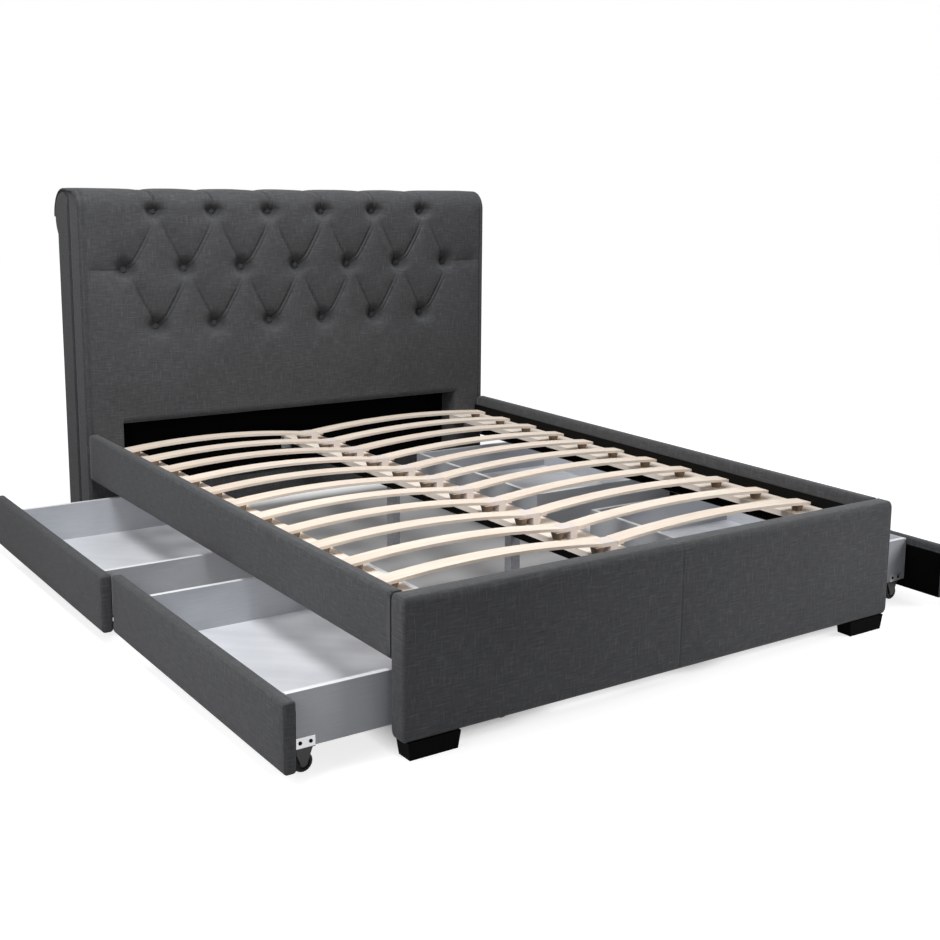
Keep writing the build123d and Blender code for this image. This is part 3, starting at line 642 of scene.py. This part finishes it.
def tufting(x, run, creased):
    """Depth of the tufting: dimples at buttons, soft valleys between them, and creases if asked."""
    dimples = np.zeros_like(x)
    for row in button_rows():
        for button_x, button_run in row:
            away = np.maximum(np.hypot(x - button_x, run - button_run) - SEAT_RADIUS, 0)
            turn = np.arctan2(run - button_run, x - button_x) - DIMPLE_LEAN
            leaning = (0.5 + 0.5 * np.cos(turn)) ** LEAN_POWER
            wide, narrow = [short + (long - short) * leaning for short, long in (DIMPLE_REACH, PIT_REACH)]
            dimple = DIMPLE_DEPTH * np.exp(-((away / wide) ** DIMPLE_FLARE))
            dimple += (SEAT_DEPTH - DIMPLE_DEPTH) * np.exp(-((away / narrow) ** 2))
            dimples = np.maximum(dimples, dimple)
    valleys = np.zeros_like(x)
    creases = np.zeros_like(x)
    for start, end, bow, first, last, sharp in folds():
        share, off, aside = along_fold(x, run, start, end, bow)
        depth = first + (last - first) * share
        valleys = np.maximum(valleys, depth * np.exp(-((off / VALLEY_REACH) ** VALLEY_FLARE)))
        starting = np.clip(share / CREASE_START, 0, 1)
        ending = np.clip((FOLD_FADE[1] - share) / (FOLD_FADE[1] - FOLD_FADE[0]), 0, 1)
        near = off < CREASE_REACH
        groove = np.exp(-((off / CREASE_HALF) ** 2))
        lip = near * np.exp(-(((aside - LIP_PLACE / 2) / CREASE_HALF) ** 2))
        second = near * np.exp(-(((aside - LIP_PLACE) / CREASE_HALF) ** 2))
        doubled = SECOND_CREASE if end[0] > start[0] and bow > 0 else 0.0
        pleat = groove - LIP_SHARE * lip + doubled * second
        creases += sharp * starting * ending * CREASE_DEPTH * pleat
    soft = (dimples**VALLEY_BLEND + valleys**VALLEY_BLEND) ** (1 / VALLEY_BLEND)
    return soft + creases if creased else soft


def pad_rows(low_step, step):
    """Distances up the pad, with one at the head of the recess, and closer together from the tufting up."""
    low = steps(0, RECESS_RUN, low_step)
    middle = steps(RECESS_RUN, TUFT_RUN, low_step)[1:]
    return np.concatenate((low, middle, steps(TUFT_RUN, PAD_RUN, step)[1:]))


def pad_columns(step):
    """Places across the pad's front, with one at each side of the recess."""
    stile = steps(PANEL_HALF, HALF_WIDTH - SIDE_RADIUS, step)
    return np.concatenate((-stile[::-1], steps(-PANEL_HALF, PANEL_HALF, step)[1:-1], stile))


def in_recess(columns, rows):
    """Which cells of the pad's grid lie in the recess."""
    across = (columns[:-1] + columns[1:]) / 2
    up = (rows[:-1] + rows[1:]) / 2
    return (np.abs(across)[None, :] < PANEL_HALF) & (up[:, None] < RECESS_RUN)


def grid_faces(shape, skipped):
    """Quads of a grid of points, without the skipped cells."""
    count = shape[1]
    corners = [i * count + j for i, j in np.argwhere(~skipped).tolist()]
    return [[corner, corner + 1, corner + count + 1, corner + count] for corner in corners]


def swelling(columns, rows):
    """How far a simulated cloth cover swells between buttons, folds and edges, over the grid of places."""
    x, run = np.meshgrid(columns, rows)
    front, out, _ = pad_profile(run)
    depth = tufting(x, run, creased=False)
    points = np.stack((x, *(front - out * depth)), axis=-1)
    mesh = bpy.data.meshes.new("pad_cover")
    mesh.from_pydata(points.reshape(-1, 3).tolist(), [], grid_faces(x.shape, in_recess(columns, rows)))
    cover = bpy.data.objects.new("pad_cover", mesh)
    scene = bpy.context.scene
    scene.collection.objects.link(cover)
    hold = np.zeros_like(x)
    for start, end, bow, *_ in folds():
        off = along_fold(x, run, start, end, bow)[1]
        hold = np.maximum(hold, FOLD_HOLD * np.exp(-((off / VALLEY_REACH) ** 2)))
    for row in button_rows():
        for button_x, button_run in row:
            hold[np.hypot(x - button_x, run - button_run) < 2 * SEAT_RADIUS] = 1
    hold[run < STILL_RUN] = 1
    hold[run > FRONT_RUN + BEND_RUN] = 1
    hold[:, :2] = hold[:, -2:] = hold[-1] = 1
    group = cover.vertex_groups.new(name="hold")
    for number, weight in enumerate(hold.ravel().tolist()):
        group.add([number], weight, "REPLACE")
    fabric = cover.modifiers.new("cloth", "CLOTH")
    fabric.settings.vertex_group_mass = "hold"
    fabric.settings.use_pressure = True
    fabric.settings.uniform_pressure_force = PAD_PRESSURE
    fabric.settings.effector_weights.gravity = 0.0
    fabric.collision_settings.use_collision = False
    fabric.point_cache.frame_end = PAD_FRAMES
    for number in range(1, PAD_FRAMES + 1):
        scene.frame_set(number)
    swollen = cover.evaluated_get(bpy.context.evaluated_depsgraph_get()).to_mesh()
    moved = np.empty(points.size)
    swollen.vertices.foreach_get("co", moved)
    scene.frame_set(1)
    bpy.data.objects.remove(cover)
    moved = moved.reshape(points.shape) - points
    outward = moved[..., 1] * out[0] + moved[..., 2] * out[1]
    return np.clip(outward, 0, SWELL_CAP)


def spread_over(field, columns, rows, fine_columns, fine_rows):
    """A field on a coarse grid, read smoothly at a finer one."""
    wide = np.stack([np.interp(fine_columns, columns, line) for line in field])
    fine = np.stack([np.interp(fine_rows, rows, line) for line in wide.T]).T
    for _ in range(SMOOTH_PASSES):
        padded = np.pad(fine, 1, mode="edge")
        fine = (padded[:-2, 1:-1] + padded[2:, 1:-1] + padded[1:-1, :-2] + padded[1:-1, 2:]) / 4
    return fine


def pad_depth(columns, rows):
    """How far the cover lies inside the pad's plain profile, over the grid of places."""
    x, run = np.meshgrid(columns, rows)
    depth = tufting(x, run, creased=True)
    coarse = pad_columns(COARSE_STEPS[1]), pad_rows(*COARSE_STEPS)
    depth -= spread_over(swelling(*coarse), *coarse, columns, rows)
    ripple = [
        noise.noise(Vector((RIPPLE_SCALE * across, RIPPLE_SCALE * up, 0.0)))
        for across, up in zip(x.ravel(), run.ravel())
    ]
    depth += RIPPLE * np.reshape(ripple, x.shape)
    border = np.minimum(HALF_WIDTH - SIDE_RADIUS - np.abs(x), PAD_RUN - run)
    depth *= np.clip(border / EDGE_FADE, 0, 1)
    inset, half, sunk = FRONT_SEAM
    depth += sunk * np.exp(-(((HALF_WIDTH - SIDE_RADIUS - inset - np.abs(x)) / half) ** 2))
    beside = np.maximum(np.abs(x) - PANEL_HALF, run - RECESS_RUN)
    within = np.clip(RECESS_RADIUS - beside, 0, RECESS_RADIUS)
    depth += RECESS_RADIUS - np.sqrt(RECESS_RADIUS**2 - within**2)
    return depth


def side_radius(thickness):
    """Radius of the cover's side edges, which is smaller where the pad is thin."""
    return np.minimum(SIDE_RADIUS, SIDE_RADIUS_SHARE * thickness)


def side_band(side, front, back):
    """Columns from the front's rounded edge back to the core, where a sewn groove ends them."""
    thickness = np.hypot(*(back - front))
    inward = (back - front) / thickness
    radius = side_radius(thickness)
    made = []
    for turn in SIDE_TURNS:
        made.append((HALF_WIDTH - radius * (1 - math.sin(turn)), radius * (1 - math.cos(turn))))
    for share in BAND_SHARES:
        deep = radius + share * (thickness - radius)
        seam = math.exp(-(((share - 1.0) / SEAM_SPREAD) ** 2))
        sunk = BAND_SETBACK * min(1.0, share / BAND_START) + (SEAM_GROOVE - BAND_SETBACK) * seam
        made.append((HALF_WIDTH - np.minimum(sunk, BAND_LIMIT * thickness), deep))
    return np.stack([
        np.stack((side * across, front[0] + inward[0] * deep, front[1] + inward[1] * deep), axis=-1)
        for across, deep in made
    ], axis=1)


def pad_closing(number, behind, left, right):
    """Faces that close the cover at its back, at its foot and round the recess.

    number holds the numbers of the cover's points, behind those at the back of the recess's two sides, and
    left and right are the cover's columns at these sides.
    """
    head = behind.shape[1] - 1
    closing = []
    for i in range(len(number) - 1):
        if i < head:
            for column, side in ((0, 0), (-1, 1), (left, 0), (right, 1)):
                edge = [number[i, column], number[i + 1, column]]
                closing.append([*edge, behind[side, i + 1], behind[side, i]])
        else:
            lower = [number[i, 0], number[i, -1]]
            if i == head:
                lower = [number[i, 0], behind[0, i], behind[1, i], number[i, -1]]
            closing.append([*lower, number[i + 1, -1], number[i + 1, 0]])
    closing.append([*number[head, left:right + 1], behind[1, head], behind[0, head]])
    closing.append([*number[0, :left + 1], behind[0, 0]])
    closing.append([*number[0, right:], behind[1, 0]])
    closing.append(list(number[-1]))
    return [[int(corner) for corner in face] for face in closing]


def headboard_pad():
    """Deep-buttoned pad: front, top and roll in one cover, sewn to a band round the sides."""
    columns, rows = pad_columns(FINE_STEPS[1]), pad_rows(*FINE_STEPS)
    depth = pad_depth(columns, rows)
    front, out, back = pad_profile(rows)
    widening = (HALF_WIDTH - side_radius(np.hypot(*(back - front)))) / (HALF_WIDTH - SIDE_RADIUS)
    middle = np.stack((
        columns * widening[:, None],
        front[0][:, None] - out[0][:, None] * depth,
        front[1][:, None] - out[1][:, None] * depth,
    ), axis=-1)
    left, right = side_band(-1, front, back)[:, ::-1], side_band(1, front, back)
    sheet = np.concatenate((left, middle, right), axis=1)
    extra = left.shape[1]
    skipped = np.zeros((sheet.shape[0] - 1, sheet.shape[1] - 1), bool)
    skipped[:, extra:-extra] = in_recess(columns, rows)
    faces = grid_faces(sheet.shape[:2], skipped)
    points = sheet.reshape(-1, 3)
    head = int(np.argmin(np.abs(rows - RECESS_RUN)))
    jambs = np.array([(side * PANEL_HALF, *back[:, i]) for side in (-1, 1) for i in range(head + 1)])
    number = np.arange(len(points)).reshape(sheet.shape[:2])
    behind = len(points) + np.arange(len(jambs)).reshape(2, head + 1)
    sides = [extra + int(np.argmin(np.abs(columns - side * PANEL_HALF))) for side in (-1, 1)]
    closing = pad_closing(number, behind, *sides)
    flat = range(len(faces), len(faces) + len(closing))
    add_piece(
        "headboard_tufted_pad", np.concatenate((points, jambs)), faces + closing,
        "bed_frame", (CLOTH,), ["headboard_pad"], flat=flat,
    )


def lathed(profile, sides, start):
    """Rings of (reach, rise) points about an axis as (across, rise, up), with faces that close both ends."""
    turns = np.linspace(0, 2 * math.pi, sides, endpoint=False)
    points = [
        (reach * math.cos(turn), rise, reach * math.sin(turn)) for reach, rise in profile for turn in turns
    ]
    faces = []
    for ring in range(len(profile) - 1):
        first, second = start + ring * sides, start + (ring + 1) * sides
        for i in range(sides):
            after = (i + 1) % sides
            faces.append([first + i, first + after, second + after, second + i])
    last = start + (len(profile) - 1) * sides
    return points, faces + [list(range(start, start + sides)), list(range(last, last + sides))]


def headboard_buttons():
    """Cloth-covered buttons that sit at the bottom of the dimples."""
    bends = np.radians(np.linspace(BUTTON_TOP_DEGREES, 90, BUTTON_RINGS))
    profile = [(BUTTON_RADIUS * math.sin(bend), BUTTON_RISE * math.cos(bend)) for bend in bends]
    profile.append((BUTTON_RADIUS, -BUTTON_RISE))
    points, faces = [], []
    for row in button_rows():
        for x, run in row:
            dome, dome_faces = lathed(profile, BUTTON_SIDES, len(points))
            base = PAD_FRONT + SEAT_DEPTH
            points += [(x + across, base - rise, PAD_BOTTOM + run + up) for across, rise, up in dome]
            faces += dome_faces
    add_piece(
        "headboard_cloth_buttons", points, faces, "bed_frame", (CLOTH,),
        ["headboard_buttons"],
    )


def scroll_end(side_name):
    """Padded panel that closes one end of the scroll, with a soft rounded edge."""
    side = SIDES[side_name]
    low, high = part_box(f"headboard_end_{side_name}")
    inner, outer = sorted((abs(low[0]), abs(high[0])))
    radius = high[1] - ROLL_Y
    front = math.acos((low[1] - ROLL_Y) / radius)
    core_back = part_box("headboard_back_panel")[0][1]
    back = -math.acos((core_back - ROLL_Y) / radius)
    turn = np.linspace(front, back, SCROLL_POINTS)
    rise = steps(low[2], ROLL_Z + radius * math.sin(front), OUTLINE_STEP)[:-1]
    fall = steps(ROLL_Z + radius * math.sin(back), low[2], OUTLINE_STEP)[1:]
    base = steps(core_back, low[1], OUTLINE_STEP)[1:-1]
    outline = np.concatenate((
        np.stack((np.full_like(rise, low[1]), rise), axis=1),
        np.stack((ROLL_Y + radius * np.cos(turn), ROLL_Z + radius * np.sin(turn)), axis=1),
        np.stack((np.full_like(fall, core_back), fall), axis=1),
        np.stack((base, np.full_like(base, low[2])), axis=1),
    ))
    ahead = np.roll(outline, -1, axis=0) - np.roll(outline, 1, axis=0)
    inward = np.stack((ahead[:, 1], -ahead[:, 0]), axis=1) / np.hypot(*ahead.T)[:, None]
    bends = np.radians(np.linspace(0, 90, END_RINGS))
    rings = [(inner, 0.0)]
    rings += [
        (outer - END_RADIUS * (1 - math.sin(bend)), END_RADIUS * (1 - math.cos(bend))) for bend in bends
    ]
    count = len(outline)
    points = np.concatenate([
        np.column_stack((np.full(count, side * x), outline + inward * deep)) for x, deep in rings
    ])
    faces = []
    for ring in range(len(rings) - 1):
        first, second = ring * count, (ring + 1) * count
        for i in range(count):
            after = (i + 1) % count
            faces.append([first + i, first + after, second + after, second + i])
    faces += [list(range(count)), list(range((len(rings) - 1) * count, len(rings) * count))]
    # The end panel's cloth is the charcoal cloth painted darker, a painted shade.
    add_piece(
        f"headboard_end_{side_name}_cloth", points, faces, "bed_frame", (END_CLOTH_PAINTED_SHADE,),
        [f"headboard_end_{side_name}"], flat=(len(faces) - 2, len(faces) - 1),
    )


def lined_inside(axis, place):
    """Finish of a rail or footboard: black lining low on its inner face, cloth elsewhere."""
    def finish_of(middles):
        inside = np.abs(middles[:, axis] - place) < ON_FACE
        return np.where(inside & (middles[:, 2] < LINING_TOP), 1, 0)
    return finish_of


def drawer_front(side_name, end):
    """Padded drawer front: a cloth return over the top of a black lining, and laminate inside the drawer."""
    drawer = f"drawer_{side_name}_{end}"
    side = SIDES[side_name]
    low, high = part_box(f"{drawer}_front")
    box_low, box_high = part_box(f"{drawer}_bottom")
    box_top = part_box(f"{drawer}_back")[1][2]
    back = low[0] if side > 0 else high[0]

    def finish_of(middles):
        x, y, z = middles.T
        behind = np.abs(x - back) < ON_FACE
        lined = z < high[2] - CLOTH_RETURN
        inside = (y > box_low[1]) & (y < box_high[1]) & (z > box_low[2]) & (z < box_top)
        return np.where(behind & inside, 2, np.where(behind & lined, 1, 0))

    cuts = [(1, box_low[1]), (1, box_high[1]), (2, box_low[2]), (2, box_top), (2, high[2] - CLOTH_RETURN)]
    padded_board(f"{drawer}_front", drawer, FRONT_ROUNDING, (0, side), cuts=cuts, finish_of=finish_of)


SCREW_RADIUS = 0.0045
SCREW_HEAD = 0.002
SCREW_HALF_PITCH = 0.0125
SCREW_PROFILE = ((0.30, 0.35), (0.36, 1.0), (0.70, 0.92), (0.92, 0.65), (1.0, 0.25), (1.0, 0.0))
SCREW_SIDES = 20


def bracket_screws(side_name, end):
    """Socket-headed screws, two through the side plate of each wheel bracket."""
    drawer = f"drawer_{side_name}_{end}"
    low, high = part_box(f"{drawer}_brackets")
    floor_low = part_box(f"{drawer}_bottom")[0]
    height = (floor_low[2] + high[2]) / 2
    profile = [(reach * SCREW_RADIUS, rise * SCREW_HEAD) for reach, rise in SCREW_PROFILE]
    points, faces = [], []
    for row in ("outer", "inner"):
        wheel_low, wheel_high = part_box(f"{drawer}_wheels_{row}")
        middle = (wheel_low[0] + wheel_high[0]) / 2
        for face, direction in ((low[1], -1), (high[1], 1)):
            for step in (-SCREW_HALF_PITCH, SCREW_HALF_PITCH):
                head, head_faces = lathed(profile, SCREW_SIDES, len(points))
                points += [
                    (middle + step + across, face + direction * rise, height + up)
                    for across, rise, up in head
                ]
                faces += head_faces
    add_piece(f"{drawer}_screws", points, faces, drawer, (BLACK_STEEL,))


headboard_pad()
headboard_buttons()
padded_board(
    "footboard", "bed_frame", FOOTBOARD_ROUNDING, (1, -1), seams=[(0, 0.0)], cuts=[(2, LINING_TOP)],
    finish_of=lined_inside(1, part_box("footboard")[1][1]),
)
for side_name, side in SIDES.items():
    scroll_end(side_name)
    rail = f"side_rail_{side_name}"
    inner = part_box(rail)[0 if side > 0 else 1][0]
    padded_board(
        rail, "bed_frame", RAIL_ROUNDING, (0, side), cuts=[(2, LINING_TOP)], finish_of=lined_inside(0, inner)
    )
for side_name, end in DRAWERS:
    drawer_front(side_name, end)
    bracket_screws(side_name, end)


# Camera, floor and light
def set_camera():
    """Camera at the photograph's place and angle."""
    forward = Vector((
        math.sin(CAMERA_YAW) * math.cos(CAMERA_PITCH),
        math.cos(CAMERA_YAW) * math.cos(CAMERA_PITCH),
        math.sin(CAMERA_PITCH),
    ))
    level = forward.cross(Vector((0, 0, 1))).normalized()
    upright = level.cross(forward)
    right = level * math.cos(CAMERA_ROLL) + upright * math.sin(CAMERA_ROLL)
    up = upright * math.cos(CAMERA_ROLL) - level * math.sin(CAMERA_ROLL)
    data = bpy.data.cameras.new("camera")
    data.lens = CAMERA_LENS
    data.sensor_width = CAMERA_SENSOR
    data.shift_x, data.shift_y = CAMERA_SHIFT
    data.clip_end = CAMERA_REACH
    camera = bpy.data.objects.new("camera", data)
    turned = Matrix((right, up, -forward)).transposed().to_4x4()
    camera.matrix_world = Matrix.Translation(CAMERA_PLACE) @ turned
    bpy.context.scene.collection.objects.link(camera)
    bpy.context.scene.camera = camera


def seen_or_mirrored(tree):
    """One for rays from the camera and for reflections, nought for the light that falls on things."""
    path = tree.node("LightPath").outputs
    seen = tree.math("MAXIMUM", path["Is Camera Ray"], path["Is Glossy Ray"])
    return tree.math("MAXIMUM", seen, path["Is Transmission Ray"])


FLOOR_HALF = 14.0
FLOOR_SHADE = (0.45, 0.45, 0.46, 1.0)
WHITE = (1.0, 1.0, 1.0, 1.0)
NEAR_GLOW = 0.78
FAR_GLOW = 1.0
GLOW_FADE = 0.12
FAR_REACH = 3.0
WORLD_LIGHT = 0.17


def set_floor():
    """Pale floor that reads as white and still takes the shadow."""
    shader = Shader("floor", {"Roughness": 0.9, "Specular IOR Level": 0.0})
    shader.surface.inputs["Base Color"].default_value = FLOOR_SHADE
    shader.surface.inputs["Emission Color"].default_value = WHITE
    x, y, _ = shader.place()
    beyond_side = shader.math("SUBTRACT", shader.math("ABSOLUTE", x), HALF_WIDTH - GLOW_FADE)
    beyond_end = shader.math("SUBTRACT", shader.math("ABSOLUTE", y), PAD_FRONT + GLOW_FADE)
    outside = shader.math("MAXIMUM", beyond_side, beyond_end)
    near = shader.node("MapRange", outside, 0.0, GLOW_FADE, 0.0, NEAR_GLOW)
    far = shader.node("MapRange", outside, GLOW_FADE, FAR_REACH, 0.0, FAR_GLOW - NEAR_GLOW)
    fade = shader.math("ADD", near.outputs[0], far.outputs[0])
    glow = shader.math("MULTIPLY", seen_or_mirrored(shader), fade)
    shader.feed(shader.surface.inputs["Emission Strength"], glow)
    mesh = bpy.data.meshes.new("floor")
    corners = [(x * FLOOR_HALF, y * FLOOR_HALF, 0.0) for x, y in ((-1, -1), (1, -1), (1, 1), (-1, 1))]
    mesh.from_pydata(corners, [], [(0, 1, 2, 3)])
    mesh.materials.append(shader.material)
    floor = bpy.data.objects.new("floor", mesh)
    bpy.context.scene.collection.objects.link(floor)


def set_world():
    """White all round for the camera, softer light for the surfaces."""
    world = bpy.data.worlds.new("studio")
    world.use_nodes = True
    bpy.context.scene.world = world
    sky = Nodes(world.node_tree)
    strength = sky.node("MapRange", seen_or_mirrored(sky), 0.0, 1.0, WORLD_LIGHT, 1.0)
    background = sky.tree.nodes["Background"]
    sky.feed(background.inputs["Color"], WHITE)
    sky.feed(background.inputs["Strength"], strength.outputs[0])


def set_lamp(name, place, target, size, watts, spread=180):
    """Square soft box that points at a target; its beam spreads over an angle in degrees."""
    data = bpy.data.lights.new(name, "AREA")
    data.size = size
    data.energy = watts
    data.spread = math.radians(spread)
    lamp = bpy.data.objects.new(name, data)
    lamp.location = place
    lamp.rotation_euler = (Vector(target) - Vector(place)).to_track_quat("-Z", "Y").to_euler()
    bpy.context.scene.collection.objects.link(lamp)


set_camera()
set_floor()
set_world()
set_lamp("upper_left", (-1.4, -0.6, 2.8), target=(0.1, 0.5, 0.6), size=1.0, watts=58.0)
set_lamp("overhead", (0.5, 0.3, 3.0), target=(0.3, 0.1, 0.3), size=1.4, watts=33.0)
set_lamp("left", (-2.3, -1.35, 1.2), target=(-0.9, -1.2, 0.15), size=0.8, watts=14.0)
set_lamp("right_front", (1.9, -2.5, 1.1), target=(0.3, -1.2, 0.2), size=1.0, watts=5.4, spread=60)

bpy.context.scene.view_settings.view_transform = "Standard"
